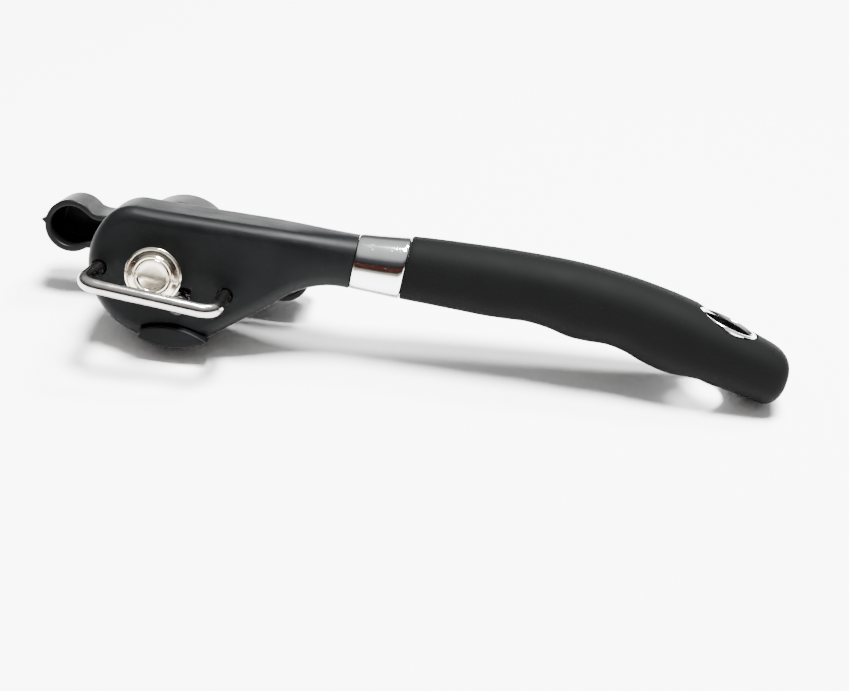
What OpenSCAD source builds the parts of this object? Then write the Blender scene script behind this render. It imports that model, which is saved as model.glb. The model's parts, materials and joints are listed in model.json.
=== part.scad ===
// Manual can opener with one handle: a round head, a turn knob on its far side and a side-cutting mechanism.
// The pieces are laid out in the working frame (X along the handle, -Y towards the can, Z up, origin where
// the drive axis meets the head's front face) and rest_pose() then lays the whole opener on its table.

/* [Head] */
// Radius of the round head
head_r = 20; // [19:0.5:21]
// Distance between the centres of the head's two end arcs
head_spread = 4.5; // [3.5:0.5:5.5]
// Radius of the corner between the head's back and its top line
corner_r = 10; // [9:0.5:11]
// Height of the top line over the drive axis
top_z = 15.9; // [15.5:0.1:16.3]
// Slope of the top line towards the handle, in degrees
top_slope = 4.3; // [3.5:0.1:5]
// Depth of the head from its front face to its back face
head_depth = 22; // [21.5:0.5:23]
// Depth of the front shell, up to the parting line
front_depth = 10; // [9.5:0.5:10.5]
// Wall thickness of the shells
wall = 2.2; // [1.8:0.1:2.6]
// Radius of the rounding along the front edge
edge_r = 3; // [2.5:0.5:4]
// Radius of the rounding along the back edge
back_r = 6; // [5:0.5:6.5]

/* [Neck and handle] */
// Where the neck ends and the ferrule starts, from the drive axis
neck_x = 51; // [50:0.5:52]
// Width of the neck where it meets the ferrule
neck_w = 15.5; // [14.5:0.5:16.5]
// Length of the ferrule
ferrule_l = 14.2; // [13:0.2:15]
// Wall thickness of the ferrule
ferrule_wall = 1.2; // [1:0.1:1.4]
// Thickness of the soft grip over its core
grip_wall = 2.4; // [2:0.1:3]
// Middle of the hang hole, from the drive axis
hang_x = 153.5; // [151:0.5:155]
// Bore radius of the hang hole's eyelet
hang_r = 7.2; // [6.4:0.1:7.4]
// Wall thickness of the eyelet
eyelet_wall = 1.1; // [0.9:0.1:1.4]
// Length of the eyelet
eyelet_l = 16.4; // [16:0.1:17]
// Lean of the hang hole from the square, in degrees
hang_lean = 12; // [10:0.5:13]

/* [Drive] */
// Radius of the drive wheel's flange
flange_r = 7.7; // [7.5:0.1:8.2]
// Tip radius of the drive wheel's toothed drum
drum_r = 6.2; // [6:0.1:6.4]
// Number of teeth on the drum
drum_teeth = 30; // [24:1:36]
// Radius of the drive shaft
shaft_r = 2.5; // [2.4:0.05:2.6]
// Radial play of every running fit
play = 0.05; // [0.03:0.01:0.08]
// Reach of the turn knob from its axis to the middle of each wing
wing_x = 31.5; // [30:0.5:33]
// Radius of each wing's round end
wing_r = 7.6; // [7:0.1:8]
// Radius of the knob's hub
hub_r = 14.3; // [13.5:0.1:14.5]
// Depth of the knob
knob_depth = 14.5; // [13:0.5:15]
// Wall thickness of the knob
knob_wall = 1.8; // [1.5:0.1:2.2]

/* [Cutter] */
// Radius of the cutter wheel
cutter_r = 2.7; // [2.5:0.05:2.8]
// Distance of the cutter from its lever's pivot
lever_l = 10.5; // [10.4:0.05:10.6]
// Depth of the lever's pivot below the drive axis
pivot_z = 14.75; // [14.7:0.05:14.8]
// Teeth on the clamp gear
gear_teeth = 16; // [16:1:16]
// Teeth on a full circle of the lever's sector
sector_teeth = 40; // [40:1:40]

/* [Wire bail] */
// Radius of the bail's wire
wire_r = 2; // [1.8:0.1:2.1]
// Standoff of the bail's bar from the head's face
bail_reach = 13; // [11:0.5:14]
// Drop of the bail's bar below its roots
bail_drop = 1.4; // [0:0.1:2]
// Depth of the bail's legs in the head
bail_depth = 7; // [6:0.5:7.5]

/* [Hidden] */
$fn = 64;

// Rest pose on the table: lean back onto the knob's hub, handle end down, then the shift to the origin
lean = 16.43;
pitch = 7.05;
rest_shift = [-66.77, -12.88, 24.66];

// Outline of the head and neck
top_corner = [-sqrt(pow(head_r - corner_r, 2) - 29), 5.4];
throat_c = [50, -18.9];
throat_r = 23.9;
neck_low = throat_c[1] + throat_r;
throat_gap = norm(throat_c - [head_spread, 0]);
throat_a = atan2(throat_c[1], throat_c[0] - head_spread) - acos((head_r + throat_r) / throat_gap);

// Depths along Y
knob_y = head_depth + 2.5;
wheel_y = -6;
handle_y = 11;
plate_t = 2;
lever_y = 3.4;
lever_t = 2;

// Cutter, its lever and the clamp gear
pivot = [0, -pivot_z];
cutter_at = pivot + lever_l * [cos(45), sin(45)];
module_mm = 2 * pivot_z / (gear_teeth + sector_teeth);
pin_r = 1;
pivot_r = 1.5;

bail_left = [-16, -3];
bail_right = [19.1, -2.7];
screw_spots = [[-10.5, 7.8], [-12, -8.8], [16, 9.5], [36.6, 12.4]];
screw_r = 1.3;
screw_head_r = 2.7;
screw_sunk = 2.6;
boss_r = 3;
head_boss_r = 3.4;
bush_r = 4;
bush_y = head_depth - 6;
bush_lip = 1.2;
press = 0.02;
pad_groove = 1.5;
pad_proud = 2.6;
tang_z = 13.8;
tang_half = 2.3;
rivet_x = [80, 122];
rivet_r = 1.5;

// Handle stations: distance along X, top, bottom and half width; the underside dips between the fingers
stations = [
    [neck_x + ferrule_l, 22.7, 5.4, 8.6], [72, 23.5, 5.7, 9.0], [80, 24.3, 6.0, 9.4], [90, 25.2, 6.4, 9.9],
    [96, 25.6, 7.0, 10.2], [101, 25.9, 7.5, 10.4], [107, 26.2, 7.1, 10.6], [113, 26.3, 6.0, 10.8],
    [118, 26.2, 6.0, 11.0], [124, 25.9, 6.4, 11.2], [129, 25.5, 5.6, 11.3], [134, 24.9, 4.0, 11.5],
    [140, 24.0, 2.7, 11.7], [147, 22.6, 2.1, 11.8], [154, 20.8, 1.8, 11.8], [161, 18.8, 1.4, 11.6],
    [166, 17.4, 0.8, 11.2], [170, 16.2, 0.2, 10.4], [172.4, 15.0, 1.6, 9.2], [173.7, 13.4, 4.2, 7.4],
    [174.2, 11.4, 6.6, 4.8]
];
ring_stations = [
    [neck_x, 20.3, 4.9, 7.4], [neck_x + 5, 21.0, 5.0, 7.8],
    [neck_x + 10, 21.8, 5.1, 8.2], [neck_x + ferrule_l, 22.5, 5.2, 8.4]
];
round_n = 32;

function arc(c, r, a0, a1, n) = [for (i = [0:n]) let (a = a0 + (a1 - a0) * i / n) c + r * [cos(a), sin(a)]];
function top_at(x) = top_z + x * tan(top_slope);

// Head and neck outline in X and Z, drawn t inside the true edge
function body_outline(t) = concat(
    [[neck_x, neck_low + t]],
    arc(throat_c, throat_r + t, 90, throat_a + 180, 12),
    arc([head_spread, 0], head_r - t, throat_a, -90, 12),
    arc([0, 0], head_r - t, -90, -212.5, 28),
    arc(top_corner, corner_r - t, 147.5, 90 + top_slope, 10),
    [[neck_x, top_at(neck_x) - t]]
);

// Head and neck outline in X and Y: full depth at the head, narrowing to the neck's width
function plan_outline(t) = [
    [-head_r - 1, t], [24, t], [33, 0.9 + t], [42, 2.2 + t], [neck_x + 1, handle_y - neck_w / 2 + t],
    [neck_x + 1, handle_y + neck_w / 2 - t], [42, head_depth - 2.2 - t], [33, head_depth - 0.9 - t],
    [24, head_depth - t], [-head_r - 1, head_depth - t]
];

// A station moved along the handle
function slid(s, by) = [s[0] + by, s[1], s[2], s[3]];

// Section of the handle at a station s, t inside the skin
function section(s, t) = [for (i = [0:round_n - 1]) let (a = 360 * i / round_n, k = 0.8) [
    s[0],
    handle_y + (s[3] - t) * sign(cos(a)) * pow(abs(cos(a)), k),
    (s[1] + s[2]) / 2 + ((s[1] - s[2]) / 2 - t) * sign(sin(a)) * pow(abs(sin(a)), k)
]];

// The frame plate's tongue through the neck into the handle, or its slot with play t all round
module tang(t) translate([34 - t, front_depth - t, tang_z - tang_half - t])
    cube([101 + 2 * t, plate_t + 2 * t, 2 * (tang_half + t)]);

module rest_pose() translate(rest_shift) rotate([-lean, pitch, 0]) children();

// Turns a flat XZ drawing into a slab between two depths
module slab(y0, y1) translate([0, y1, 0]) rotate([90, 0, 0]) linear_extrude(y1 - y0) children();

// A round bar along Y
module bar(p, r, y0, y1) translate([p[0], y0, p[1]]) rotate([-90, 0, 0])
    cylinder(r = r, h = y1 - y0);

// A cone along Y
module taper(p, r0, r1, y0, y1) translate([p[0], y0, p[1]]) rotate([-90, 0, 0])
    cylinder(r1 = r0, r2 = r1, h = y1 - y0);

module tube(p, r_in, r_out, y0, y1) difference() {
    bar(p, r_out, y0, y1);
    bar(p, r_in, y0 - 1, y1 + 1);
}

// Skin over a list of sections, closed at both ends
module loft(rings) {
    n = len(rings[0]);
    m = len(rings);
    polyhedron(
        points = [for (r = rings) each r],
        faces = concat(
            [[for (i = [0:n - 1]) i]],
            [for (j = [0:m - 2]) for (i = [0:n - 1]) let (k = (i + 1) % n)
                [j * n + i, (j + 1) * n + i, (j + 1) * n + k, j * n + k]],
            [[for (i = [n - 1:-1:0]) (m - 1) * n + i]]
        )
    );
}

// Outline of a gear with straight-sided teeth, from tooth first to tooth last
function teeth(z, first, last, shift) = let (r = module_mm * z / 2, p = 360 / z) [
    for (i = [first:last]) let (a = i * p + shift) each [
        [r - 1.25 * module_mm, a - 0.27 * p], [r + 0.75 * module_mm, a - 0.1 * p],
        [r + 0.75 * module_mm, a + 0.1 * p], [r - 1.25 * module_mm, a + 0.27 * p]
    ]
];
function polar(list) = [for (q = list) q[0] * [cos(q[1]), sin(q[1])]];

module body_slab(y0, y1, t) slab(y0, y1) polygon(body_outline(t));
module plan(t) translate([0, 0, -30]) linear_extrude(60) polygon(plan_outline(t));

// One stepped half of the head's outside: rounded towards the face at y_edge
module stepped(y_edge, dir, steps, depth, r) {
    for (i = [0:steps - 1]) {
        y0 = r * i / steps;
        y1 = i == steps - 1 ? depth : r * (i + 1) / steps;
        t = r - sqrt(r * r - pow(r - (y0 + min(y1, r)) / 2, 2));
        if (dir > 0) body_slab(y_edge + y0, y_edge + y1, t);
        else body_slab(y_edge - y1, y_edge - y0, t);
    }
}

module front_shell() color([0.07, 0.07, 0.075]) difference() {
    union() {
        difference() {
            intersection() {
                stepped(0, 1, 4, front_depth, edge_r);
                plan(0);
            }
            intersection() {
                body_slab(wall, front_depth + 1, wall);
                plan(wall);
            }
        }
        for (p = [bail_left, bail_right]) bar(p, wire_r + 1.2, wall / 2, bail_depth + 1);
        for (p = screw_spots) bar(p, boss_r, wall / 2, front_depth);
    }
    bar([0, 0], bush_r + press, -1, front_depth);
    for (p = [bail_left, bail_right]) bar(p, wire_r + press, -1, bail_depth);
    for (p = screw_spots) bar(p, screw_r, wall + 1, front_depth + 1);
    // Window for the cutter, and the groove over the rim pad
    slab(-1, wall + 1) polygon([[4.6, -3], [9.9, -3], [9.9, -10.4], [4.2, -10.4]]);
    slab(-1, pad_groove) polygon(pad_outline(0.15, 0.6));
    tang(0.1);
}

// Crescent of the rim pad: t wider all round, with a gap above its arched edge
function pad_outline(t, gap) = concat(
    arc([head_spread, 0], head_r + 0.4, -108 - 4 * t, -54 + 4 * t, 16),
    arc([8, -36], 22.1 + gap, 68 - 2 * t, 115 + 2 * t, 10)
);

module rim_pad() color([0.06, 0.06, 0.065]) slab(-pad_proud, pad_groove - 0.05) polygon(pad_outline(0, 0));

module rear_shell() color([0.07, 0.07, 0.075]) difference() {
    union() {
        difference() {
            intersection() {
                stepped(head_depth, -1, 4, head_depth - front_depth, back_r);
                plan(0);
            }
            intersection() {
                body_slab(front_depth - 1, head_depth - wall, wall);
                plan(wall);
            }
        }
        for (p = screw_spots) bar(p, head_boss_r, front_depth + plate_t, head_depth - wall / 2);
        bar([0, 0], bush_r + 2.5, bush_y, head_depth + bush_lip);
    }
    bar([0, 0], bush_r + press, bush_y - 1, head_depth + 2);
    for (p = screw_spots) {
        bar(p, screw_r + 0.3, front_depth, head_depth + 1);
        bar(p, screw_head_r + 0.2, head_depth - screw_sunk, head_depth + 1);
    }
    tang(0.1);
}

module frame_plate() color([0.62, 0.63, 0.65]) difference() {
    union() {
        intersection() {
            body_slab(front_depth, front_depth + plate_t, wall + 0.4);
            translate([-30, 0, -30]) cube([68, 30, 60]);
        }
        tang(0);
    }
    bar([0, 0], shaft_r + play, 0, head_depth);
    bar(pivot, pivot_r, 0, head_depth);
    for (p = screw_spots) bar(p, screw_r + 0.3, 0, head_depth);
    for (x = rivet_x) bar([x, tang_z], rivet_r, 0, head_depth);
}

module shell_screws() color([0.7, 0.7, 0.72]) for (p = screw_spots) difference() {
    union() {
        bar(p, screw_r, wall + 2, head_depth - 2);
        bar(p, screw_head_r, head_depth - screw_sunk, head_depth - 0.8);
    }
    for (a = [0, 90]) translate([p[0], head_depth - 1, p[1]]) rotate([0, a, 0])
        cube([3.2, 2, 0.7], center = true);
}

module front_bush() color([0.72, 0.6, 0.32]) tube([0, 0], shaft_r + play, bush_r, -0.2, wall + 0.9);

module rear_bush() color([0.72, 0.6, 0.32])
    tube([0, 0], shaft_r + play, bush_r, bush_y, head_depth + bush_lip);

module drive_shaft() color([0.8, 0.79, 0.75]) difference() {
    union() {
        bar([0, 0], 4.7, wheel_y - 0.7, wheel_y + 0.2);
        bar([0, 0], shaft_r, wheel_y, knob_y + 1);
        intersection() {
            bar([0, 0], shaft_r, knob_y, knob_y + 10.5);
            translate([-1.8, knob_y - 1, -3]) cube([3.6, 12, 6]);
        }
    }
    tube([0, 0], 2, 3, 14.2, 15);
    bar([0, 0], 1.2, knob_y + 2, knob_y + 11);
}

module drive_wheel() color([0.85, 0.82, 0.76]) difference() {
    union() {
        bar([0, 0], flange_r, wheel_y + 0.5, wheel_y + 1.2);
        taper([0, 0], flange_r - 0.9, flange_r, wheel_y + 0.05, wheel_y + 0.5);
        slab(wheel_y + 1.2, -0.6) polygon([for (i = [0:drum_teeth - 1]) each [
            drum_r * [cos(i * 360 / drum_teeth), sin(i * 360 / drum_teeth)],
            (drum_r - 0.5) * [cos((i + 0.5) * 360 / drum_teeth), sin((i + 0.5) * 360 / drum_teeth)]
        ]]);
    }
    bar([0, 0], shaft_r, wheel_y - 1, 1);
    bar([0, 0], 4.75, wheel_y - 1, wheel_y + 0.2);
    tube([0, 0], 5.2, 5.9, wheel_y - 1, wheel_y + 0.35);
}

module retaining_clip() color([0.5, 0.5, 0.52]) difference() {
    tube([0, 0], 2, 4.2, 14.25, 14.95);
    translate([-0.9, 14, -5]) cube([1.8, 2, 5]);
}

module thrust_washer() color([0.9, 0.9, 0.88])
    tube([0, 0], shaft_r + play, 5.5, head_depth + bush_lip + 0.05, knob_y - 0.1);

function reversed(list) = [for (i = [len(list) - 1:-1:0]) list[i]];

// One edge of the knob's waist, from the wing to the hub, in the quarter given by two signs
function knob_waist(t, sx, sz) = [
    for (q = [[26, 5.4], [24.4, 5.1], [22.5, 5.2], [20.5, 5.7], [18, 6.6], [15.4, 7.7]])
        [sx * q[0], sz * (q[1] - t)]
];

// Outline of the knob, t inside the skin: round wing end, waist, hub and the same again
function knob_outline(t) = concat(
    arc([wing_x, 0], wing_r - t, -120, 120, 20),
    knob_waist(t, 1, 1),
    arc([0, 0], hub_r - t, 40, 140, 20),
    reversed(knob_waist(t, -1, 1)),
    arc([-wing_x, 0], wing_r - t, 60, 300, 20),
    knob_waist(t, -1, -1),
    arc([0, 0], hub_r - t, 220, 320, 20),
    reversed(knob_waist(t, 1, -1))
);

module turn_knob() color([0.06, 0.06, 0.065]) difference() {
    union() {
        difference() {
            slab(knob_y, knob_y + knob_depth) polygon(knob_outline(0));
            slab(knob_y - 1, knob_y + knob_depth - knob_wall) polygon(knob_outline(knob_wall));
        }
        bar([0, 0], 5.5, knob_y, knob_y + knob_depth - 1);
        for (s = [-1, 1]) taper([s * (wing_x + wing_r - 0.3), 0], 0.9, 0.5, knob_y, knob_y + knob_depth);
    }
    intersection() {
        bar([0, 0], shaft_r + 0.03, knob_y - 1, knob_y + 10.6);
        translate([-1.83, knob_y - 2, -3]) cube([3.66, 13, 6]);
    }
    bar([0, 0], shaft_r + 0.03, knob_y - 1, knob_y + 1.05);
    bar([0, 0], 1.7, knob_y, knob_y + knob_depth + 1);
    bar([0, 0], 4.2, knob_y + knob_depth - 3, knob_y + knob_depth + 1);
}

module knob_washer() color([0.7, 0.7, 0.72])
    tube([0, 0], 1.65, 3.9, knob_y + knob_depth - 3, knob_y + knob_depth - 2.3);

module knob_screw() color([0.7, 0.7, 0.72]) difference() {
    union() {
        bar([0, 0], 1.2, knob_y + 3, knob_y + knob_depth - 2.3);
        bar([0, 0], 3, knob_y + knob_depth - 2.3, knob_y + knob_depth - 0.6);
    }
    for (a = [0, 90]) translate([0, knob_y + knob_depth - 0.8, 0]) rotate([0, a, 0])
        cube([3.6, 1.6, 0.8], center = true);
}

module clamp_gear() color([0.6, 0.6, 0.62]) difference() {
    slab(lever_y, lever_y + lever_t) polygon(polar(teeth(gear_teeth, 0, gear_teeth - 1, 270)));
    bar([0, 0], shaft_r + play, 0, 10);
}

module wave_washer() color([0.75, 0.75, 0.77])
    tube([0, 0], shaft_r + 0.1, 3.9, lever_y + lever_t + 0.05, lever_y + lever_t + 0.45);

module spacer_sleeve() color([0.72, 0.6, 0.32])
    tube([0, 0], shaft_r + play, 3.6, lever_y + lever_t + 0.5, front_depth);

module clamp_lever() color([0.6, 0.6, 0.62]) difference() {
    translate([pivot[0], 0, pivot[1]]) slab(lever_y, lever_y + lever_t) polygon(concat(
        [[-2.2, -1.6], [0, -2.6], [2.4, -1.4]],
        [cutter_at - pivot + [2.2, -1.4], cutter_at - pivot + [1.8, 1.6]],
        polar(teeth(sector_teeth, -2, 3, 90 + 180 / sector_teeth)),
        [[-3.6, 6], [-2.9, 1]]
    ));
    bar(pivot, pivot_r + play, 0, 10);
    bar(cutter_at, pin_r, 0, 10);
}

module lever_pin() color([0.75, 0.75, 0.77]) {
    bar(pivot, pivot_r, lever_y - 0.2, front_depth + plate_t);
    bar(pivot, 2.4, lever_y - 1, lever_y - 0.1);
    bar(pivot, 2.4, lever_y + lever_t + 0.1, front_depth);
}

module cutter_pin() color([0.75, 0.75, 0.77]) {
    bar(cutter_at, pin_r, -4.5, lever_y + lever_t);
    bar(cutter_at, 1.5, -4.75, -4.35);
}

module cutter_spacer() color([0.72, 0.72, 0.74]) tube(cutter_at, pin_r + 0.02, 1.7, -2.9, lever_y - 0.02);

module cutter_wheel() color([0.8, 0.78, 0.72]) difference() {
    union() {
        bar(cutter_at, cutter_r, -3.6, -3.3);
        taper(cutter_at, cutter_r - 0.8, cutter_r, -4.3, -3.6);
        bar(cutter_at, 1.9, -3.3, -2.95);
    }
    bar(cutter_at, pin_r + play, -6, 0);
}

// The bail's centreline: up one leg, round its bend, along the bar and down the other leg
function bail_path() = let (
    bend = 4,
    out = [bail_left[0] - 0.9, bail_right[0] - 0.3],
    flat = concat(
        [[bail_left[0], bail_depth - 0.5], [bail_left[0], 0], [bail_left[0], -0.5]],
        arc([out[0] + bend, bend - bail_reach], bend, 180, 270, 8),
        arc([out[1] - bend, bend - bail_reach], bend, 270, 360, 8),
        [[bail_right[0], -0.5], [bail_right[0], 0], [bail_right[0], bail_depth - 0.5]]
    ),
    rise = (bail_right[1] - bail_left[1]) / (bail_right[0] - bail_left[0])
) [for (q = flat) [
    q[0], q[1], bail_left[1] + (q[0] - bail_left[0]) * rise - bail_drop * max(0, -0.5 - q[1]) / bail_reach
]];

// Rings of a round wire swept along a path that lies close to the XY plane
function wire_rings(path, r, sides) = [for (i = [0:len(path) - 1]) let (
    d = path[min(i + 1, len(path) - 1)] - path[max(i - 1, 0)],
    side = [d[1], -d[0], 0] / norm([d[0], d[1]])
) [for (k = [0:sides - 1]) path[i] + r * (cos(360 * k / sides) * side + sin(360 * k / sides) * [0, 0, 1])]];

module wire_bail() color([0.85, 0.85, 0.86]) loft(wire_rings(bail_path(), wire_r, 24));

module ferrule() color([0.88, 0.88, 0.9]) difference() {
    loft([for (s = ring_stations) section(s, 0)]);
    loft([
        for (s = ring_stations)
            section(slid(s, s[0] < neck_x + 1 ? -1 : s[0] > neck_x + 12 ? 1 : 0), ferrule_wall)
    ]);
}

// Skin of the core under the grip, t inside the grip's own
module core_skin(t) loft([
    for (s = stations) if (s[0] < 171) section(slid(s, s[0] < neck_x + ferrule_l + 1 ? -0.5 : 0), t)
]);

// The hang hole's axis, as a bar of radius r through the handle
module hang_at(up) translate([hang_x, handle_y, 11.6]) rotate([0, hang_lean, 0])
    translate([0, 0, up]) children();

module hang_bar(r, h) hang_at(0) cylinder(r = r, h = h, center = true);

module handle_core() color([0.1, 0.1, 0.1]) difference() {
    union() {
        core_skin(grip_wall + 0.1);
        loft([for (s = ring_stations) section(s, ferrule_wall + 0.1)]);
    }
    tang(0.05);
    hang_bar(hang_r + eyelet_wall + 0.1, 60);
    for (x = rivet_x) bar([x, tang_z], rivet_r, -5, 30);
}

module core_rivets() color([0.7, 0.7, 0.72])
    for (x = rivet_x) bar([x, tang_z], rivet_r - press, handle_y - 5, handle_y + 5);

module grip() color([0.055, 0.055, 0.06]) difference() {
    loft([for (s = stations) section(s, 0)]);
    core_skin(grip_wall);
    hang_bar(hang_r + eyelet_wall + 0.05, 60);
    for (s = [-1, 1]) hang_at(s * (eyelet_l / 2 + 4))
        cylinder(r = hang_r + eyelet_wall + 0.8, h = 8, center = true);
}

module hang_eyelet() color([0.88, 0.88, 0.9]) difference() {
    hang_bar(hang_r + eyelet_wall, eyelet_l);
    hang_bar(hang_r, 60);
}

rest_pose() front_shell();
rest_pose() rear_shell();
rest_pose() frame_plate();
rest_pose() rim_pad();
rest_pose() wire_bail();
rest_pose() shell_screws();
rest_pose() front_bush();
rest_pose() rear_bush();
rest_pose() drive_shaft();
rest_pose() drive_wheel();
rest_pose() retaining_clip();
rest_pose() thrust_washer();
rest_pose() turn_knob();
rest_pose() knob_washer();
rest_pose() knob_screw();
rest_pose() clamp_gear();
rest_pose() wave_washer();
rest_pose() spacer_sleeve();
rest_pose() clamp_lever();
rest_pose() lever_pin();
rest_pose() cutter_pin();
rest_pose() cutter_spacer();
rest_pose() cutter_wheel();
rest_pose() ferrule();
rest_pose() handle_core();
rest_pose() core_rivets();
rest_pose() grip();
rest_pose() hang_eyelet();
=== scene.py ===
import bmesh
import bpy
import json
import math
from mathutils import Matrix, Vector


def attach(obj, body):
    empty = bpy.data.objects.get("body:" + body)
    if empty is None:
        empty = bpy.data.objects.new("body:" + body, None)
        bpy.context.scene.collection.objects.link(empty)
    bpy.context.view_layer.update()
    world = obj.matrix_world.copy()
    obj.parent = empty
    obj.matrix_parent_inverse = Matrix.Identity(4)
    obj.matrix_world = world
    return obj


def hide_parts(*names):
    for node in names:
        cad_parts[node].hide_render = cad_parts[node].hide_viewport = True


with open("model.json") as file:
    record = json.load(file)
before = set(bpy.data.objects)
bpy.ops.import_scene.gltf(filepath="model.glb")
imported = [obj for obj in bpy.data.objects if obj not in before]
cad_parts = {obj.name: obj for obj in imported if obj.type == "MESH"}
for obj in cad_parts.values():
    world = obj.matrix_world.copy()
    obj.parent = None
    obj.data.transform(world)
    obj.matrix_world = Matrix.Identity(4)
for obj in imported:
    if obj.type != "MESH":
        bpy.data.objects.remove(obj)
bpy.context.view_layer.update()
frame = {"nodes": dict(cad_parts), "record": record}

mm = 0.001
record = frame["record"]


# Where things are: the working frame has X along the handle, Y along the drive axis and Z up the head

def namedEntry(rows, name):
    return next(row for row in rows if row["name"] == name)


def workingFrame(holeLean=12):
    knob = namedEntry(record["behaviour"]["joints"], "knob_turn")
    hole = Vector(namedEntry(record["mounts"], "hang_hole")["axis"])
    drive = Vector(knob["axis"])
    across = drive.cross(hole)
    lean = math.radians(holeLean)
    along = hole * math.sin(lean) + across * math.cos(lean)
    up = hole * math.cos(lean) - across * math.sin(lean)
    turn = Matrix((along, drive, up)).transposed().to_4x4()
    return Matrix.Translation(Vector(knob["pos_m"])) @ turn


working = workingFrame()


# Camera

camera = {
    "place": (67.6, -365.4, 104.8),
    "right": (0.974, 0.0571, 0.221),
    "down": (0.228, -0.2769, -0.933),
    "focal": 1400,
    "middle": (409, 340),
    "picture": (849, 691),
}


def setCamera():
    right = Vector(camera["right"]).normalized()
    down = Vector(camera["down"])
    down = (down - right * down.dot(right)).normalized()
    turn = Matrix((right, -down, right.cross(-down))).transposed().to_4x4()
    wide, high = camera["picture"]
    bpy.ops.object.camera_add()
    eye = bpy.context.object
    eye.name = "studioCamera"
    eye.matrix_world = working @ Matrix.Translation(Vector(camera["place"]) * mm) @ turn
    eye.data.sensor_width = 36
    eye.data.lens = 36 * camera["focal"] / wide
    eye.data.shift_x = (wide / 2 - camera["middle"][0]) / wide
    eye.data.shift_y = (camera["middle"][1] - high / 2) / wide
    eye.data.clip_start = 0.01
    bpy.context.scene.camera = eye


setCamera()
print("camera set")


# Shader maths

class Signal:
    # one socket of a node tree, with arithmetic
    def __init__(self, tree, socket):
        self.tree = tree
        self.socket = socket

    def node(self, kind, settings, sockets, output=0):
        made = self.tree.nodes.new(kind)
        for key, value in settings.items():
            if key == "stops":
                ramp = made.color_ramp
                while len(ramp.elements) < len(value):
                    ramp.elements.new(0.5)
                for stop, (place, shade) in zip(ramp.elements, value):
                    stop.position = place
                    stop.color = shade if len(shade) == 4 else (*shade, 1)
            else:
                setattr(made, key, value)
        for key, value in sockets.items():
            if isinstance(value, Signal):
                self.tree.links.new(value.socket, made.inputs[key])
            else:
                made.inputs[key].default_value = value
        return Signal(self.tree, made.outputs[output]) if made.outputs else None

    def maths(self, how, first, second):
        return self.node("ShaderNodeMath", {"operation": how}, {0: first, 1: second})

    def __add__(self, other):
        return self.maths("ADD", self, other)

    def __sub__(self, other):
        return self.maths("SUBTRACT", self, other)

    def __rsub__(self, other):
        return self.maths("SUBTRACT", other, self)

    def __mul__(self, other):
        return self.maths("MULTIPLY", self, other)

    __radd__ = __add__
    __rmul__ = __mul__

    def between(self, low, high, toLow=0.0, toHigh=1.0):
        return self.node("ShaderNodeMapRange", {}, {
            "Value": self, "From Min": low, "From Max": high, "To Min": toLow, "To Max": toHigh})

    def blend(self, dark, light):
        return self.node("ShaderNodeMix", {"data_type": "RGBA"}, {
            "Factor": self, 6: dark, 7: light}, 2)

    def noise(self, size, detail=2.0, rough=0.5):
        return self.node("ShaderNodeTexNoise", {}, {
            "Vector": self, "Scale": 1 / (size * mm), "Detail": detail, "Roughness": rough})

    def stretched(self, scale):
        return self.node("ShaderNodeMapping", {}, {"Vector": self, "Scale": scale})

    def atWork(self):
        # the same place read in the working frame, so that patterns can follow the drive axis
        return self.node("ShaderNodeMapping", {"vector_type": "TEXTURE"}, {
            "Vector": self, "Location": working.translation, "Rotation": working.to_euler()})

    def parts(self):
        split = self.tree.nodes.new("ShaderNodeSeparateXYZ")
        self.tree.links.new(self.socket, split.inputs[0])
        return [Signal(self.tree, out) for out in split.outputs]


def newFinish(name):
    material = bpy.data.materials.new(name)
    material.use_nodes = True
    tree = material.node_tree
    tree.nodes.clear()
    place = tree.nodes.new("ShaderNodeTexCoord")
    return material, Signal(tree, place.outputs["Object"])


def closeFinish(material, at, values):
    shader = at.node("ShaderNodeBsdfPrincipled", {}, values)
    at.node("ShaderNodeOutputMaterial", {}, {"Surface": shader})
    return material


def tint(base, factor):
    return (*[min(1.0, part * factor) for part in base], 1)


# Moulded plastic and rubber: fine tool grain, uneven gloss, a little dust and a few fine scuffs
def mouldedFinish(name, look):
    material, at = newFinish(name)
    grain = at.noise(look["grain"], 3.0, 0.6)
    cloud = at.noise(look["cloud"], 3.0)
    dust = at.noise(0.9, 1.0).between(0.74, 0.8)
    scuff = at.stretched((1, 0.12, 1)).noise(2.4, 6.0, 0.75).between(0.66, 0.7)
    wear = dust * look["dust"] + scuff * look["scuff"]
    shade = cloud.between(0.3, 0.7).blend(tint(look["base"], 0.8), tint(look["base"], 1.25))
    shade = wear.blend(shade, tint(look["worn"], 1))
    rough = cloud.between(0.3, 0.7, look["rough"] - look["spread"], look["rough"] + look["spread"])
    rough = rough + wear * 0.3
    height = grain + scuff * 0.4
    normal = at.node("ShaderNodeBump", {}, {
        "Strength": 1.0, "Distance": look["depth"] * mm, "Height": height})
    return closeFinish(material, at, {
        "Base Color": shade, "Roughness": rough, "Normal": normal,
        "Specular IOR Level": look["gloss"]})


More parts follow.
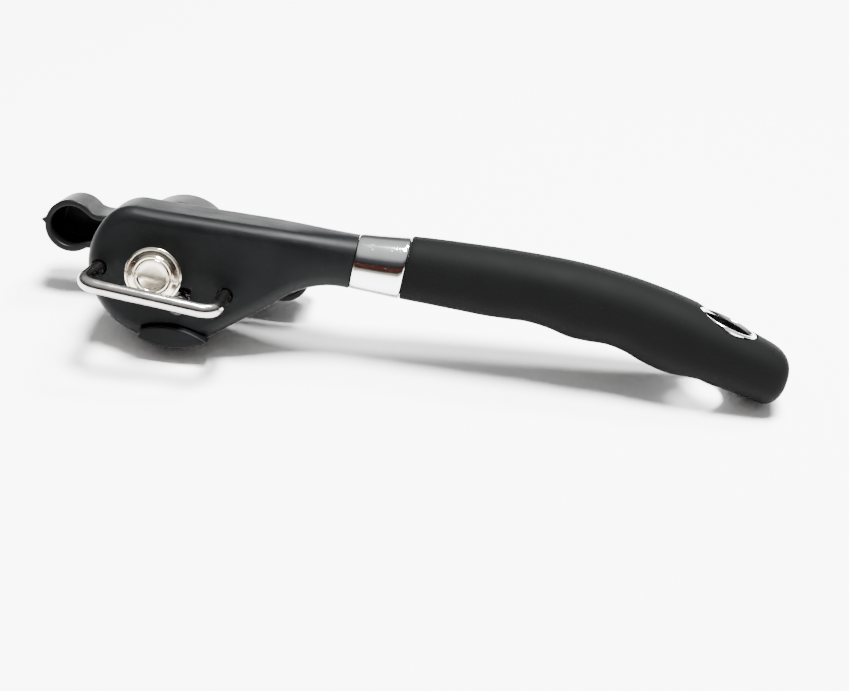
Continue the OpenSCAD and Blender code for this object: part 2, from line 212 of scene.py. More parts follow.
# Plated or ground metal: faint smears, fine lines and specks
def metalFinish(name, look):
    material, at = newFinish(name)
    smear = at.noise(look["smear"], 4.0, 0.6)
    if look["lines"] == "turned":
        x, y, z = at.atWork().parts()
        radius = x.maths("POWER", x * x + z * z, 0.5)
        fine = at.node("ShaderNodeTexNoise", {"noise_dimensions": "1D"}, {
            "W": radius, "Scale": 1 / (look["pitch"] * mm), "Detail": 2.0})
    else:
        fine = at.atWork().stretched(look["lines"]).noise(look["pitch"], 3.0, 0.6)
    speck = at.noise(0.5, 1.0).between(0.72, 0.76)
    shade = smear.between(0.3, 0.7).blend(tint(look["base"], 0.9), tint(look["base"], 1.05))
    shade = (speck * look["specks"]).blend(shade, tint(look["dark"], 1))
    rough = smear.between(0.25, 0.75, look["rough"] * 0.6, look["rough"] * 1.5)
    rough = rough + (fine - 0.5) * look["streak"] + speck * 0.2
    normal = at.node("ShaderNodeBump", {}, {
        "Strength": 1.0, "Distance": look["depth"] * mm, "Height": fine})
    return closeFinish(material, at, {
        "Base Color": shade, "Metallic": 1.0, "Roughness": rough, "Normal": normal})


plastics = {
    "headPlastic": {
        "base": (0.0022, 0.0025, 0.0027), "worn": (0.03, 0.03, 0.03), "rough": 0.46, "spread": 0.05,
        "grain": 0.22, "cloud": 9, "depth": 0.012, "gloss": 0.07, "dust": 0.18, "scuff": 0.1},
    "knobPlastic": {
        "base": (0.0024, 0.0025, 0.0026), "worn": (0.03, 0.03, 0.03), "rough": 0.42, "spread": 0.05,
        "grain": 0.25, "cloud": 8, "depth": 0.012, "gloss": 0.12, "dust": 0.15, "scuff": 0.08},
    "gripRubber": {
        "base": (0.0017, 0.0018, 0.0018), "worn": (0.016, 0.016, 0.015), "rough": 0.72, "spread": 0.05,
        "grain": 0.3, "cloud": 14, "depth": 0.014, "gloss": 0.05, "dust": 0.08, "scuff": 0.04},
    "corePlastic": {
        "base": (0.03, 0.03, 0.03), "worn": (0.12, 0.12, 0.12), "rough": 0.5, "spread": 0.05, "grain": 0.4,
        "cloud": 9, "depth": 0.01, "gloss": 0.5, "dust": 0.1, "scuff": 0.05},
    "whiteNylon": {
        "base": (0.75, 0.74, 0.7), "worn": (0.45, 0.43, 0.4), "rough": 0.45, "spread": 0.06, "grain": 0.4,
        "cloud": 3, "depth": 0.008, "gloss": 0.5, "dust": 0.1, "scuff": 0.1},
}
metals = {
    "brightChrome": {
        "base": (0.76, 0.77, 0.78), "dark": (0.3, 0.3, 0.3), "rough": 0.06, "smear": 6, "lines": (1, 1, 1),
        "pitch": 0.6, "streak": 0.01, "depth": 0.0004, "specks": 0.15},
    "drawnWire": {
        "base": (0.45, 0.44, 0.415), "dark": (0.16, 0.15, 0.13), "rough": 0.14, "smear": 4,
        "lines": (0.15, 1, 1), "pitch": 0.35, "streak": 0.06, "depth": 0.0012, "specks": 0.5},
    "warmNickel": {
        "base": (0.72, 0.66, 0.54), "dark": (0.25, 0.2, 0.15), "rough": 0.15, "smear": 2.5,
        "lines": "turned", "pitch": 0.16, "streak": 0.08, "depth": 0.0014, "specks": 0.35},
    "toolSteel": {
        "base": (0.2, 0.195, 0.19), "dark": (0.08, 0.075, 0.07), "rough": 0.3, "smear": 2,
        "lines": (0.1, 1, 1), "pitch": 0.2, "streak": 0.12, "depth": 0.002, "specks": 0.3},
    "zincPlate": {
        "base": (0.6, 0.61, 0.64), "dark": (0.3, 0.3, 0.3), "rough": 0.34, "smear": 3, "lines": (1, 1, 1),
        "pitch": 0.3, "streak": 0.1, "depth": 0.002, "specks": 0.3},
    # painted shade: a near-black steel laid where the eyelet's bore and the cutter sit in shade
    "paintedShadeSteel": {
        "base": (0.035, 0.035, 0.035), "dark": (0.02, 0.02, 0.02), "rough": 0.3, "smear": 3,
        "lines": (1, 1, 1), "pitch": 0.4, "streak": 0.05, "depth": 0.001, "specks": 0.2},
    "turnedBrass": {
        "base": (0.74, 0.56, 0.27), "dark": (0.35, 0.24, 0.1), "rough": 0.25, "smear": 2, "lines": "turned",
        "pitch": 0.14, "streak": 0.1, "depth": 0.002, "specks": 0.2},
}
finishes = {name: mouldedFinish(name, look) for name, look in plastics.items()}
finishes.update({name: metalFinish(name, look) for name, look in metals.items()})
print("finishes made:", len(finishes))


# Modelling helpers

def letGo():
    if bpy.context.object and bpy.context.object.mode != "OBJECT":
        bpy.ops.object.mode_set(mode="OBJECT")
    bpy.ops.object.select_all(action="DESELECT")


def take(piece):
    letGo()
    piece.select_set(True)
    bpy.context.view_layer.objects.active = piece


def openMesh(piece, select="DESELECT"):
    take(piece)
    bpy.ops.object.mode_set(mode="EDIT")
    bpy.ops.mesh.select_mode(type="VERT")
    bpy.ops.mesh.select_all(action=select)


def closeMesh():
    bpy.ops.object.mode_set(mode="OBJECT")


def tidyMesh(piece, reach=0.002):
    openMesh(piece, "SELECT")
    bpy.ops.mesh.remove_doubles(threshold=reach * mm)
    bpy.ops.mesh.normals_make_consistent(inside=False)
    closeMesh()


def pickEdges(test):
    bpy.ops.mesh.select_mode(type="EDGE")
    mesh = bmesh.from_edit_mesh(bpy.context.object.data)
    for edge in mesh.edges:
        edge.select_set(test(edge.verts[0].co / mm) and test(edge.verts[1].co / mm) and not edge.is_wire)
    bmesh.update_edit_mesh(bpy.context.object.data)


def moved(piece, shape):
    # every point of a mesh put where shape says, in millimetres
    for point in piece.data.vertices:
        point.co = Vector(shape(point.co / mm)) * mm
    piece.data.update()


# A filled ring drawn out to an outline in X and Z, then drawn along Y
def cutOut(name, outline, y0, y1):
    letGo()
    bpy.ops.mesh.primitive_circle_add(vertices=len(outline), radius=20 * mm, fill_type="NGON")
    piece = bpy.context.object
    piece.name = name
    for point, (x, z) in zip(piece.data.vertices, outline):
        point.co = Vector((x, y0, z)) * mm
    openMesh(piece, "SELECT")
    bpy.ops.mesh.extrude_region_move(TRANSFORM_OT_translate={"value": (0, (y1 - y0) * mm, 0)})
    closeMesh()
    tidyMesh(piece)
    return piece


# A profile of radius and depth, drawn out point by point and spun round an axis along Y
def turned(name, profile, centre=(0, 0), steps=64):
    letGo()
    bpy.ops.mesh.primitive_plane_add(size=mm)
    piece = bpy.context.object
    piece.name = name
    points = [Vector((centre[0] + r, y, centre[1])) * mm for r, y in profile]
    openMesh(piece, "SELECT")
    bpy.ops.mesh.merge(type="CENTER")
    bpy.ops.transform.translate(value=points[0])
    for here, there in zip(points, points[1:]):
        bpy.ops.mesh.extrude_vertices_move(TRANSFORM_OT_translate={"value": there - here})
    bpy.ops.mesh.select_all(action="SELECT")
    bpy.ops.mesh.spin(steps=steps, angle=math.tau, axis=(0, 1, 0),
                      center=Vector((centre[0], 0, centre[1])) * mm)
    closeMesh()
    tidyMesh(piece)
    return piece


# A grid rolled up along a list of rings, with its ends closed
def rolled(name, rings):
    around = len(rings[0])
    letGo()
    bpy.ops.mesh.primitive_grid_add(x_subdivisions=around, y_subdivisions=len(rings) - 1, size=mm)
    piece = bpy.context.object
    piece.name = name
    for index, point in enumerate(piece.data.vertices):
        row, column = divmod(index, around + 1)
        point.co = Vector(rings[row][column % around]) * mm
    openMesh(piece, "SELECT")
    bpy.ops.mesh.remove_doubles(threshold=0.002 * mm)
    bpy.ops.mesh.select_all(action="DESELECT")
    bpy.ops.mesh.select_non_manifold()
    bpy.ops.mesh.fill_holes(sides=0)
    closeMesh()
    tidyMesh(piece)
    return piece


def carve(piece, cutter, how="DIFFERENCE"):
    take(piece)
    cut = piece.modifiers.new("cut", "BOOLEAN")
    cut.operation = how
    cut.solver = "EXACT"
    cut.object = cutter
    bpy.ops.object.modifier_apply(modifier=cut.name)
    bpy.data.objects.remove(cutter)


def softEdges(piece, width, segments=2, angle=35):
    take(piece)
    ease = piece.modifiers.new("ease", "BEVEL")
    ease.width = width * mm
    ease.segments = segments
    ease.angle_limit = math.radians(angle)
    ease.use_clamp_overlap = True
    bpy.ops.object.modifier_apply(modifier=ease.name)


def settle(piece, finish, body, nodes, angle=40, weigh=False):
    # shades a finished piece, lays it in its place and ties it to its body
    take(piece)
    bpy.ops.object.shade_smooth_by_angle(angle=math.radians(angle))
    if weigh:
        even = piece.modifiers.new("even", "WEIGHTED_NORMAL")
        even.keep_sharp = True
        bpy.ops.object.modifier_apply(modifier=even.name)
    piece.matrix_world = working
    bpy.ops.object.transform_apply(location=True, rotation=True, scale=True)
    piece.data.materials.clear()
    piece.data.materials.append(finishes[finish])
    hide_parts(*nodes)
    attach(piece, body)
    print("made", piece.name, len(piece.data.polygons))
    return piece


def arc(middle, radius, first, last, steps):
    turns = [math.radians(first + (last - first) * i / steps) for i in range(steps + 1)]
    return [(middle[0] + radius * math.cos(a), middle[1] + radius * math.sin(a)) for a in turns]


def eased(corners, steps=4):
    # corners are (across, along, rounding); each rounded one becomes a short curve
    path = []
    for i, (a, b, rounding) in enumerate(corners):
        here = Vector((a, b))
        if not rounding:
            path.append((a, b))
            continue
        back = here + (Vector(corners[i - 1][:2]) - here).normalized() * rounding
        on = here + (Vector(corners[(i + 1) % len(corners)][:2]) - here).normalized() * rounding
        for k in range(steps + 1):
            t = k / steps
            spot = back * (1 - t) ** 2 + here * 2 * t * (1 - t) + on * t * t
            path.append((spot.x, spot.y))
    return path


def glide(table, x, column):
    # a smooth read between the rows of a table, by its first column
    if x <= table[0][0]:
        return table[0][column]
    if x >= table[-1][0]:
        return table[-1][column]
    i = next(k for k in range(len(table) - 1) if table[k + 1][0] >= x)
    before, low, high, after = (table[max(0, min(len(table) - 1, k))] for k in (i - 1, i, i + 1, i + 2))
    span = high[0] - low[0]
    t = (x - low[0]) / span
    tilt0 = (high[column] - before[column]) / max(high[0] - before[0], 0.001) * span
    tilt1 = (after[column] - low[column]) / max(after[0] - low[0], 0.001) * span
    return ((2 * t ** 3 - 3 * t * t + 1) * low[column] + (t ** 3 - 2 * t * t + t) * tilt0
            + (3 * t * t - 2 * t ** 3) * high[column] + (t ** 3 - t * t) * tilt1)


# Head: two shells that meet at the parting line

head = {
    "radius": 20, "spread": 4.5, "cornerRadius": 10, "corner": (-8.43, 5.4), "topHeight": 15.9,
    "topSlope": 4.3, "throat": (50, -18.9), "throatRadius": 23.9, "depth": 22, "parting": 10, "wall": 2.2,
    "neckEnd": 51, "frontEdge": 3.8, "backEdge": 6, "seam": 0.1, "middle": 11, "roundFrom": 26,
    "roundOver": 25, "roundPower": 2.7, "bushHole": 4, "wireHole": 2.3, "wireHoleDeep": 6,
    "bailLeft": (-16, -3), "bailRight": (19.1, -2.7), "padDeep": 1.5, "padProud": 2.2,
    "screws": [(-10.5, 7.8), (-12, -8.8), (16, 9.5), (36.6, 12.4)],
    "window": [(4.6, -3), (9.9, -3), (9.9, -10.4), (4.2, -10.4)],
}


def topAt(x):
    return head["topHeight"] + x * math.tan(math.radians(head["topSlope"]))


def headOutline(inset, end):
    spread, radius = head["spread"], head["radius"]
    throatX, throatZ = head["throat"]
    gap = math.hypot(throatX - spread, throatZ)
    reach = radius + head["throatRadius"]
    turn = math.degrees(math.atan2(throatZ, throatX - spread) - math.acos(reach / gap))
    low = throatZ + head["throatRadius"] + inset
    corner = arc(head["corner"], head["cornerRadius"] - inset, 147.3, 90 + head["topSlope"], 14)
    startX = corner[-1][0]
    steps = 14
    top = [(startX + (end - startX) * i / steps, topAt(startX + (end - startX) * i / steps) - inset)
           for i in range(1, steps + 1)]
    return ([(end, low)] + arc(head["throat"], head["throatRadius"] + inset, 90, turn + 180, 24)
            + arc((spread, 0), radius - inset, turn, -90, 20)[1:]
            + arc((0, 0), radius - inset, -90, -212.7, 48)[1:] + corner[1:] + top)


neckShape = [  # distance along X, half depth
    (-40, 11), (20, 11), (27, 10.8), (34, 10.1), (42, 8.8), (51, 7.5), (60, 7.5)]


def shapedNeck(point):
    # the head's flat sides draw in and grow round towards the ferrule
    x, y, z = point
    half = glide(neckShape, x, 1)
    y = head["middle"] + (y - head["middle"]) * half / head["middle"]
    blendIn = max(0.0, min(1.0, (x - head["roundFrom"]) / head["roundOver"]))
    blendIn = blendIn * blendIn * (3 - 2 * blendIn)
    if blendIn > 0:
        power = head["roundPower"]
        throatX, throatZ = head["throat"]
        run = min(throatX, x) - throatX
        top, low = topAt(x), -head["radius"]
        if abs(run) < head["throatRadius"]:
            low = throatZ + math.sqrt(head["throatRadius"] ** 2 - run * run)
        middle, reach = (top + low) / 2, (top - low) / 2
        across, rise = (y - head["middle"]) / half, (z - middle) / reach
        size = (abs(across) ** power + abs(rise) ** power) ** (1 / power)
        insideSeam = abs(point[1] - head["parting"]) < 0.2 and abs(rise) < 0.96
        reachOut = max(abs(across), abs(rise)) if insideSeam else 1
        if size > 0.001:
            pull = 1 + (reachOut / size - 1) * blendIn
            y = head["middle"] + across * half * pull
            z = middle + rise * reach * pull
    return (x, y, z)


def headShell(name, edgeY, seamY, rounding, segments):
    shell = cutOut(name, headOutline(0, 58), min(edgeY, seamY), max(edgeY, seamY))
    openMesh(shell)
    pickEdges(lambda at: abs(at.y - edgeY) < 0.01)
    bpy.ops.mesh.bevel(offset=rounding * mm, segments=segments, profile=0.5, affect="EDGES")
    pickEdges(lambda at: abs(at.y - seamY) < 0.01)
    bpy.ops.mesh.bevel(offset=head["seam"] * mm, segments=2, affect="EDGES")
    for x in [22 + 2.6 * i for i in range(12)]:
        bpy.ops.mesh.select_all(action="SELECT")
        bpy.ops.mesh.bisect(plane_co=(x * mm, 0, 0), plane_no=(1, 0, 0))
    for z in (6, 8, 10, 12, 14, 16):
        bpy.ops.mesh.select_all(action="SELECT")
        bpy.ops.mesh.bisect(plane_co=(0, 0, z * mm), plane_no=(0, 0, 1))
    flat = edgeY + math.copysign(rounding, seamY - edgeY)
    for share in (0.2, 0.4, 0.6, 0.8):
        bpy.ops.mesh.select_all(action="SELECT")
        bpy.ops.mesh.bisect(plane_co=(0, (flat + (seamY - flat) * share) * mm, 0), plane_no=(0, 1, 0))
    bpy.ops.mesh.select_all(action="SELECT")
    bpy.ops.mesh.bisect(plane_co=(head["neckEnd"] * mm, 0, 0), plane_no=(1, 0, 0),
                        clear_outer=True, use_fill=True)
    closeMesh()
    moved(shell, shapedNeck)
    tidyMesh(shell)
    return shell


def drawnIn(point):
    # the hollow narrows with the neck and keeps its wall
    x, y, z = point
    middle, wall = head["middle"], head["wall"]
    if x > 24:
        y = middle + (y - middle) * (glide(neckShape, x, 1) - wall) / (middle - wall)
    return (x, y, z)


def hollow(y0, y1):
    inside = cutOut("inside", headOutline(head["wall"], 52), y0, y1)
    openMesh(inside)
    for x in (26, 32, 38, 44):
        bpy.ops.mesh.select_all(action="SELECT")
        bpy.ops.mesh.bisect(plane_co=(x * mm, 0, 0), plane_no=(1, 0, 0))
    closeMesh()
    moved(inside, drawnIn)
    return inside


def rod(centre, radius, y0, y1, steps=40):
    return turned("rod", [(0, y0), (radius, y0), (radius, y1), (0, y1)], centre, steps)


def makeFrontShell():
    shell = headShell("headFront", 0, head["parting"], head["frontEdge"], 8)
    carve(shell, hollow(head["wall"], head["parting"] + 1))
    carve(shell, rod((0, 0), head["bushHole"], -1, 5))
    for spot in (head["bailLeft"], head["bailRight"]):
        carve(shell, rod(spot, head["wireHole"], -1, head["wireHoleDeep"]))
    window = cutOut("window", head["window"], -1, 3)
    softEdges(window, 0.4)
    carve(shell, window)
    carve(shell, cutOut("padSeat", padOutline(0.15, 0.6), -1, head["padDeep"]))
    return settle(shell, "headPlastic", "body", ["front_shell"], 32, True)


def makeRearShell():
    shell = headShell("headRear", head["depth"], head["parting"] + 0.01, head["backEdge"], 10)
    carve(shell, hollow(head["parting"] - 1, head["depth"] - head["wall"]))
    hub = turned("hub", eased([(0, 17, 0), (6.4, 17, 0), (6.4, 22, 0), (6.4, 23.2, 0.5), (0, 23.2, 0)]))
    carve(shell, hub, "UNION")
    carve(shell, rod((0, 0), head["bushHole"], 15, 25))
    for spot in head["screws"]:
        sunk = [(0, 9), (1.6, 9), (1.6, 19.4), (2.9, 19.4), (2.9, 21.7), (3.6, 22.4), (3.6, 25), (0, 25)]
        carve(shell, turned("sunk", sunk, spot, 32))
    return settle(shell, "headPlastic", "body", ["rear_shell"], 32, True)


def padOutline(wider, gap):
    outer = arc((head["spread"], 0), head["radius"] + 0.4, -109 - 4 * wider, -52 + 4 * wider, 16)
    return outer + arc((8, -36), 21.7 + gap, 67 - 2 * wider, 116 + 2 * wider, 18)


def makeRimPad():
    pad = cutOut("rimPad", padOutline(0, 0), -head["padProud"], head["padDeep"] - 0.05)
    openMesh(pad)
    pickEdges(lambda at: abs(at.y + head["padProud"]) < 0.01)
    bpy.ops.mesh.bevel(offset=0.6 * mm, segments=3, affect="EDGES")
    closeMesh()
    return settle(pad, "headPlastic", "body", ["rim_pad"], 40, True)


makeFrontShell()
makeRearShell()
makeRimPad()


# Screws

def crossRecess(piece, centre, y, size, deep):
    for turn in (0, 90):
        bar = cutOut("bar", [(-size, -0.32), (size, -0.32), (size, 0.32), (-size, 0.32)], y - deep, y + 1)
        spin = Matrix.Rotation(math.radians(turn), 3, "Y")
        shift = Vector((centre[0], 0, centre[1]))
        moved(bar, lambda at: spin @ at + shift)
        carve(piece, bar)


def screw(name, centre, shank, headRadius, tip, neck, top):
    profile = eased([(0, tip, 0), (shank * 0.5, tip, 0), (shank, tip + 0.8, 0), (shank, neck, 0),
                     (headRadius, neck, 0.15), (headRadius, top, 0.6), (0, top, 0)])
    piece = turned(name, profile, centre, 40)
    crossRecess(piece, centre, top, headRadius * 0.62, 0.9)
    return piece


def makeShellScrews():
    made = [screw("shellScrew", spot, 1.2, 2.65, 4.4, 19.45, 21.1) for spot in head["screws"]]
    take(made[0])
    for piece in made[1:]:
        piece.select_set(True)
    bpy.ops.object.join()
    made[0].name = "shellScrews"
    return settle(made[0], "zincPlate", "body", ["shell_screws"], 35)


makeShellScrews()


# Wire bail: one round wire, bent four times

bail = {"wire": 2.0, "reach": 13, "bend": 4.0, "splay": (0.9, -0.3), "deep": 6.4, "drop": 1.4}


def makeBail():
    left, right = head["bailLeft"][0], head["bailRight"][0]
    outLeft, outRight = left - bail["splay"][0], right + bail["splay"][1]
    bend, far = bail["bend"], bail["reach"]
    legs = [(t, 0.4 - (far - bend + 0.4) * t) for t in (0.12, 0.4, 0.7)]
    path = [(left, bail["deep"]), (left, 3), (left, 0.4)]
    path += [(left + (outLeft - left) * t, y) for t, y in legs]
    path += arc((outLeft + bend, bend - far), bend, 180, 270, 14)
    path += [(outLeft + bend + (outRight - outLeft - 2 * bend) * t, -far) for t in (0.25, 0.5, 0.75)]
    path += arc((outRight - bend, bend - far), bend, 270, 360, 14)
    path += [(right + (outRight - right) * t, y) for t, y in reversed(legs)]
    path += [(right, 0.4), (right, 3), (right, bail["deep"])]
    rise = (head["bailRight"][1] - head["bailLeft"][1]) / (right - left)
    rings = []
    for i, (x, y) in enumerate(path):
        before, after = path[max(0, i - 1)], path[min(len(path) - 1, i + 1)]
        run = Vector((after[0] - before[0], after[1] - before[1])).normalized()
        rings.append([(x + bail["wire"] * math.cos(a) * run.y, y - bail["wire"] * math.cos(a) * run.x,
                       head["bailLeft"][1] + (x - left) * rise - bail["drop"] * max(0, 0.2 - y) / far
                       + bail["wire"] * math.sin(a))
                      for a in [math.tau * k / 32 for k in range(32)]])
    wire = rolled("wireBail", rings)
    return settle(wire, "drawnWire", "body", ["wire_bail"], 50)


makeBail()


# Drive: shaft, flanged wheel, turn knob

drive = {"flange": 7.7, "drum": 6.2, "teeth": 30, "knobY": 24.5}


def makeShaft():
    profile = eased([
        (0, -6.5, 0), (3.2, -6.6, 0.8), (4.0, -6.75, 0.2), (4.3, -7.15, 0.15), (4.7, -6.9, 0.15),
        (4.7, -5.8, 0), (2.5, -5.8, 0), (2.5, 14.2, 0), (2, 14.2, 0), (2, 15, 0), (2.5, 15, 0),
        (2.5, 25.5, 0), (1.8, 25.5, 0), (1.8, 34.6, 0.4),
        (1.2, 35, 0), (1.2, 27, 0), (0, 27, 0)])
    shaft = turned("driveShaft", profile, steps=72)
    return settle(shaft, "warmNickel", "drive", ["drive_shaft"], 30)


def makeWheel():
    rim = drive["flange"]
    profile = eased([
        (2.55, -5.75, 0), (4.75, -5.75, 0), (4.75, -6.85, 0.15), (5.35, -6.95, 0.2), (5.6, -6.3, 0.15),
        (7.0, -5.95, 0.1), (7.15, -6.1, 0.1), (rim, -5.85, 0.2), (rim, -4.8, 0.2), (5.4, -4.8, 0),
        (5.4, -2, 0), (2.55, -2, 0),
        (2.55, -5.75, 0)])
    wheel = turned("driveWheel", profile, steps=96)
    teeth = 2 * drive["teeth"]
    ring = []
    for i in range(teeth):
        a = math.tau * i / teeth
        r = drive["drum"] - (0.55 if i % 2 else 0)
        ring.append((r * math.cos(a), r * math.sin(a)))
    drum = cutOut("drum", ring, -5.0, -0.6)
    softEdges(drum, 0.12, 1, 60)
    carve(drum, rod((0, 0), 2.55, -6, 1, 48))
    carve(wheel, drum, "UNION")
    return settle(wheel, "warmNickel", "drive", ["drive_wheel"], 30)


knob = {
    "wing": 31.5, "wingRadius": 7.6, "hub": 14.3, "depth": 14.5, "wall": 1.8, "farEdge": 2.2, "nearEdge": 0.5,
    "waist": [(26, 5.4), (24.4, 5.1), (22.5, 5.2), (20.5, 5.7), (18, 6.6), (15.4, 7.7)],
    "nib": 8.8, "turn": 121,
}


def knobOutline(inset):
    tip = knob["wingRadius"] - inset
    waist = [(x, z - inset) for x, z in knob["waist"]]
    nib = [] if inset else [(knob["wing"] + knob["nib"], 0)]
    half = arc((knob["wing"], 0), tip, -knob["turn"], -7 if nib else 0, 20) + nib
    half += arc((knob["wing"], 0), tip, 7, knob["turn"], 20) + waist
    hubTurn = math.degrees(math.asin((knob["waist"][-1][1] - inset) / (knob["hub"] - inset))) + 3
    half += arc((0, 0), knob["hub"] - inset, hubTurn, 180 - hubTurn, 28)
    half += [(-x, z) for x, z in reversed(waist)]
    return half + [(-x, -z) for x, z in half]


def makeKnob():
    near, far = drive["knobY"], drive["knobY"] + knob["depth"]
    piece = cutOut("turnKnob", knobOutline(0), near, far)
    openMesh(piece)
    pickEdges(lambda at: abs(at.y - far) < 0.01)
    bpy.ops.mesh.bevel(offset=knob["farEdge"] * mm, segments=6, affect="EDGES")
    closeMesh()
    cavity = cutOut("cavity", knobOutline(knob["wall"]), near - 1, far - knob["wall"])
    openMesh(cavity)
    pickEdges(lambda at: abs(at.y - (far - knob["wall"])) < 0.01)
    bpy.ops.mesh.bevel(offset=0.8 * mm, segments=3, affect="EDGES")
    closeMesh()
    carve(cavity, rod((0, 0), 5.5, near - 2, far + 1, 48))
    carve(piece, cavity)
    openMesh(piece)
    pickEdges(lambda at: abs(at.y - near) < 0.01)
    bpy.ops.mesh.bevel(offset=knob["nearEdge"] * mm, segments=3, affect="EDGES")
    closeMesh()
    bore = [(0, near - 1), (2.53, near - 1), (2.53, near + 10.6), (1.7, near + 10.6), (1.7, far - 3),
            (4.2, far - 3), (4.2, far - 0.6), (4.8, far + 0.1), (4.8, far + 1), (0, far + 1)]
    carve(piece, turned("bore", bore, steps=48))
    return settle(piece, "knobPlastic", "drive", ["turn_knob"], 32, True)


def makeKnobScrew():
    piece = screw("knobScrew", (0, 0), 1.15, 3.0, 27.6, 36.72, 38.4)
    return settle(piece, "zincPlate", "drive", ["knob_screw"], 35)


makeShaft()
makeWheel()
makeKnob()
makeKnobScrew()


# Cutter on its pin

cutter = {"place": (7.42, -7.33), "radius": 2.7}


def makeCutter():
    profile = eased([
        (1.05, -4.35, 0), (1.6, -4.35, 0), (1.8, -4.1, 0), (cutter["radius"] - 0.15, -3.62, 0.05),
        (cutter["radius"], -3.5, 0.05), (cutter["radius"], -3.3, 0), (1.9, -3.3, 0), (1.9, -2.97, 0),
        (1.05, -2.97, 0),
        (1.05, -4.35, 0)])
    wheel = turned("cutterWheel", profile, cutter["place"], 64)
    # the cutter wheel and its pin get a near-black steel, painted shade standing in for the dark window they
    # sit in
    settle(wheel, "paintedShadeSteel", "cutter", ["cutter_wheel"], 28)
    profile = eased([(0, -4.75, 0), (1.1, -4.75, 0.2), (1.5, -4.6, 0.1), (1.5, -4.38, 0), (1, -4.38, 0),
                     (1, 5.4, 0), (0, 5.4, 0)])
    pin = turned("cutterPin", profile, cutter["place"], 40)
    settle(pin, "paintedShadeSteel", "clamp_lever", ["cutter_pin"], 35)


makeCutter()


# Handle: ferrule, soft grip, hang eyelet

handle = {
    "middle": 11, "squareness": 0.8, "ferruleWall": 1.2, "gripWall": 2.4, "hangX": 153.5, "hangZ": 11.6,
    "hangLean": 12, "boreRadius": 7.2, "eyeletWall": 1.1, "eyeletHalf": 8.2,
    "stations": [  # distance along X, top, bottom, half width
        (65.2, 22.7, 5.4, 8.6), (72, 23.5, 5.7, 9.0), (80, 24.3, 6.0, 9.4), (90, 25.2, 6.4, 9.9),
        (96, 25.6, 7.0, 10.2), (101, 25.9, 7.5, 10.4), (107, 26.2, 7.1, 10.6), (113, 26.3, 6.0, 10.8),
        (118, 26.2, 6.0, 11.0), (124, 25.9, 6.4, 11.2), (129, 25.5, 5.6, 11.3), (134, 24.9, 4.0, 11.5),
        (140, 24.0, 2.7, 11.7), (147, 22.6, 2.1, 11.8), (154, 20.8, 1.8, 11.8), (161, 18.8, 1.4, 11.6),
        (166, 17.4, 0.8, 11.2), (170, 16.2, 0.2, 10.4), (172.4, 15.0, 1.6, 9.2), (173.7, 13.4, 4.2, 7.4),
        (174.2, 11.4, 6.6, 4.8)],
    "ringStations": [
        (51, 20.3, 4.9, 7.4), (56, 21.0, 5.0, 7.8), (61, 21.8, 5.1, 8.2), (65.2, 22.5, 5.2, 8.4)],
}


def ringAt(table, x, inset, around, drop=0.0):
    top, low, half = (glide(table, x, column) for column in (1, 2, 3))
    power = handle["squareness"]
    ring = []
    for k in range(around):
        a = math.tau * k / around
        c, s = math.cos(a), math.sin(a)
        ring.append((x, handle["middle"] + (half - inset - drop) * math.copysign(abs(c) ** power, c),
                     (top + low) / 2 + ((top - low) / 2 - inset - drop) * math.copysign(abs(s) ** power, s)))
    return ring


def makeFerrule():
    table, wall = handle["ringStations"], handle["ferruleWall"]
    start, end, round_ = 51.05, 65.15, 0.45
    spots = [(start, round_), (start + 0.12, 0.2), (start + round_, 0.0)]
    spots += [(start + round_ + (end - start - 2 * round_) * i / 12, 0.0) for i in range(1, 12)]
    spots += [(end - round_, 0.0), (end - 0.12, 0.2), (end, round_)]
    outside = [ringAt(table, x, drop, 72) for x, drop in spots]
    ring = rolled("ferrule", outside)
    bore = rolled("bore", [ringAt(table, x, wall, 48) for x in (50.5, 55, 60, 65.8)])
    carve(ring, bore)
    return settle(ring, "brightChrome", "body", ["ferrule"], 50)


def atHole(point):
    # a piece turned along Y, stood on the hang hole's leaning axis
    lean = math.radians(handle["hangLean"])
    x, y, z = point
    return (handle["hangX"] + x * math.cos(lean) + y * math.sin(lean), handle["middle"] + z,
            handle["hangZ"] - x * math.sin(lean) + y * math.cos(lean))


def makeGrip():
    table, wall = handle["stations"], handle["gripWall"]
    spots = [(65.25, 0.5), (65.4, 0.18), (65.8, 0.0)]
    spots += [(67 + 1.35 * i, 0.0) for i in range(76)]
    nose = [(x, 0.0) for x in (169.4, 170.6, 171.6, 172.4, 173.0, 173.5, 173.9, 174.2)] + [(174.45, 1.2)]
    grip = rolled("softGrip", [ringAt(table, min(x, 174.45), drop, 80) for x, drop in spots + nose])
    core = rolled("core", [ringAt(table, x, wall, 40) for x in [64.5] + [68 + 3 * i for i in range(34)]])
    carve(grip, core)
    outer = handle["boreRadius"] + handle["eyeletWall"] + 0.06
    half = handle["eyeletHalf"]
    profile = [(0, -20), (outer + 5, -20), (outer + 1.6, -half - 0.7), (outer + 0.8, -half + 0.1)]
    profile += [(outer + 0.6, -half + 0.6), (outer, -half + 0.7)]
    profile += [(r, -y) for r, y in reversed(profile)]
    hole = turned("hole", profile, steps=72)
    moved(hole, atHole)
    tidyMesh(hole)
    carve(grip, hole)
    return settle(grip, "gripRubber", "body", ["grip"], 38)


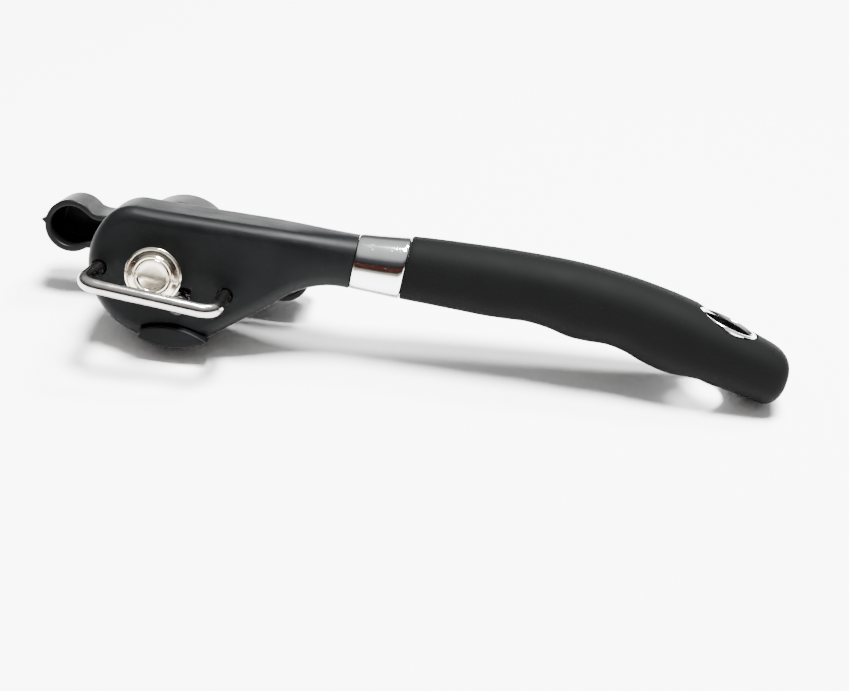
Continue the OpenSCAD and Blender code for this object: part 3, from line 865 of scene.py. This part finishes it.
def makeEyelet():
    inner = handle["boreRadius"]
    outer = inner + handle["eyeletWall"]
    lip, half = outer + 0.5, handle["eyeletHalf"]
    end = [(inner, half - 0.6, 0.3), (inner + 0.3, half, 0.2), (lip - 0.2, half + 0.1, 0.2),
           (lip, half - 0.3, 0.1), (outer, half - 0.5, 0.1)]
    profile = eased([(r, -y, ease) for r, y, ease in end] + [(r, y, ease) for r, y, ease in reversed(end)], 5)
    ring = turned("hangEyelet", profile + profile[:1], steps=96)
    moved(ring, atHole)
    tidyMesh(ring)
    settle(ring, "brightChrome", "body", ["hang_eyelet"], 40)
    # the bore below its rims is painted dark: painted shade for the inside of the hole
    ring.data.materials.append(finishes["paintedShadeSteel"])
    middle = working @ (Vector((handle["hangX"], handle["middle"], handle["hangZ"])) * mm)
    axis = Vector(namedEntry(record["mounts"], "hang_hole")["axis"])
    for face in ring.data.polygons:
        out = face.center - middle
        along = out.dot(axis)
        if (out - axis * along).length < (inner + 0.05) * mm and abs(along) < (half - 0.8) * mm:
            face.material_index = 1


makeFerrule()
makeGrip()
makeEyelet()


# Pieces kept as they come: a finish each

keptFinishes = {
    "frame_plate": "zincPlate", "front_bush": "turnedBrass", "rear_bush": "turnedBrass",
    "spacer_sleeve": "turnedBrass", "retaining_clip": "toolSteel", "thrust_washer": "whiteNylon",
    "knob_washer": "zincPlate", "clamp_gear": "toolSteel", "wave_washer": "toolSteel",
    "clamp_lever": "toolSteel", "lever_pin": "toolSteel", "cutter_spacer": "toolSteel",
    "handle_core": "corePlastic", "core_rivets": "zincPlate",
}
for node, finish in keptFinishes.items():
    kept = frame["nodes"][node]
    for place in kept.material_slots:
        place.material = finishes[finish]
print("kept pieces finished:", len(keptFinishes))


# Floor and light

studio = {
    "floor": 8.0, "floorShade": (0.95, 0.95, 0.945),
    "nearSky": [(0.0, (0.8, 0.76, 0.7)), (0.115, (0.7, 0.62, 0.5)), (0.15, (0.04, 0.035, 0.03)),
                (0.23, (0.14, 0.035, 0.025)), (0.3, (0.03, 0.03, 0.035)), (0.5, (0.12, 0.12, 0.125)),
                (0.72, (0.7, 0.7, 0.7)), (1.0, (1.0, 1.0, 1.0))],
    "farSky": [(0.0, (0.15, 0.15, 0.15)), (0.4, (0.22, 0.22, 0.22)), (0.6, (0.7, 0.7, 0.7)),
               (1.0, (1.0, 1.0, 1.0))],
    "lamps": {
        "keyLight": {"place": (0.1, 0.06, 1.25), "size": (0.42, 0.3), "power": 125},
        "backLight": {"place": (0.35, 0.55, 1.1), "size": (0.3, 0.25), "power": 28},
    },
}


def makeFloor():
    letGo()
    bpy.ops.mesh.primitive_plane_add(size=studio["floor"])
    floor = bpy.context.object
    floor.name = "floor"
    material, at = newFinish("paleFloor")
    closeFinish(material, at, {
        "Base Color": (*studio["floorShade"], 1), "Roughness": 0.7, "Specular IOR Level": 0.2})
    floor.data.materials.append(material)


def softLight(name, look):
    letGo()
    bpy.ops.object.light_add(type="AREA", location=look["place"])
    lamp = bpy.context.object
    lamp.name = name
    lamp.rotation_euler = Vector(look["place"]).to_track_quat("Z", "Y").to_euler()
    lamp.data.shape = "RECTANGLE"
    lamp.data.size, lamp.data.size_y = look["size"]
    lamp.data.energy = look["power"]


# The room: dark behind the camera, with a pale strip at the horizon, and bright overhead and beyond
def makeSky():
    world = bpy.data.worlds.new("studioSky")
    bpy.context.scene.world = world
    world.use_nodes = True
    tree = world.node_tree
    tree.nodes.clear()
    place = tree.nodes.new("ShaderNodeTexCoord")
    around = Signal(tree, place.outputs["Generated"])
    x, y, z = around.parts()
    ripple = around.noise(180, 2.0) * 0.08 - 0.04
    height = (z + ripple + 0.1) * 0.91
    near = height.node("ShaderNodeValToRGB", {"stops": studio["nearSky"]}, {"Fac": height})
    far = height.node("ShaderNodeValToRGB", {"stops": studio["farSky"]}, {"Fac": height})
    shade = y.between(-0.25, 0.35).blend(near, far)
    back = shade.node("ShaderNodeBackground", {}, {"Color": shade})
    back.node("ShaderNodeOutputWorld", {}, {"Surface": back})


makeFloor()
makeSky()
for name, look in studio["lamps"].items():
    softLight(name, look)
print("studio lit")
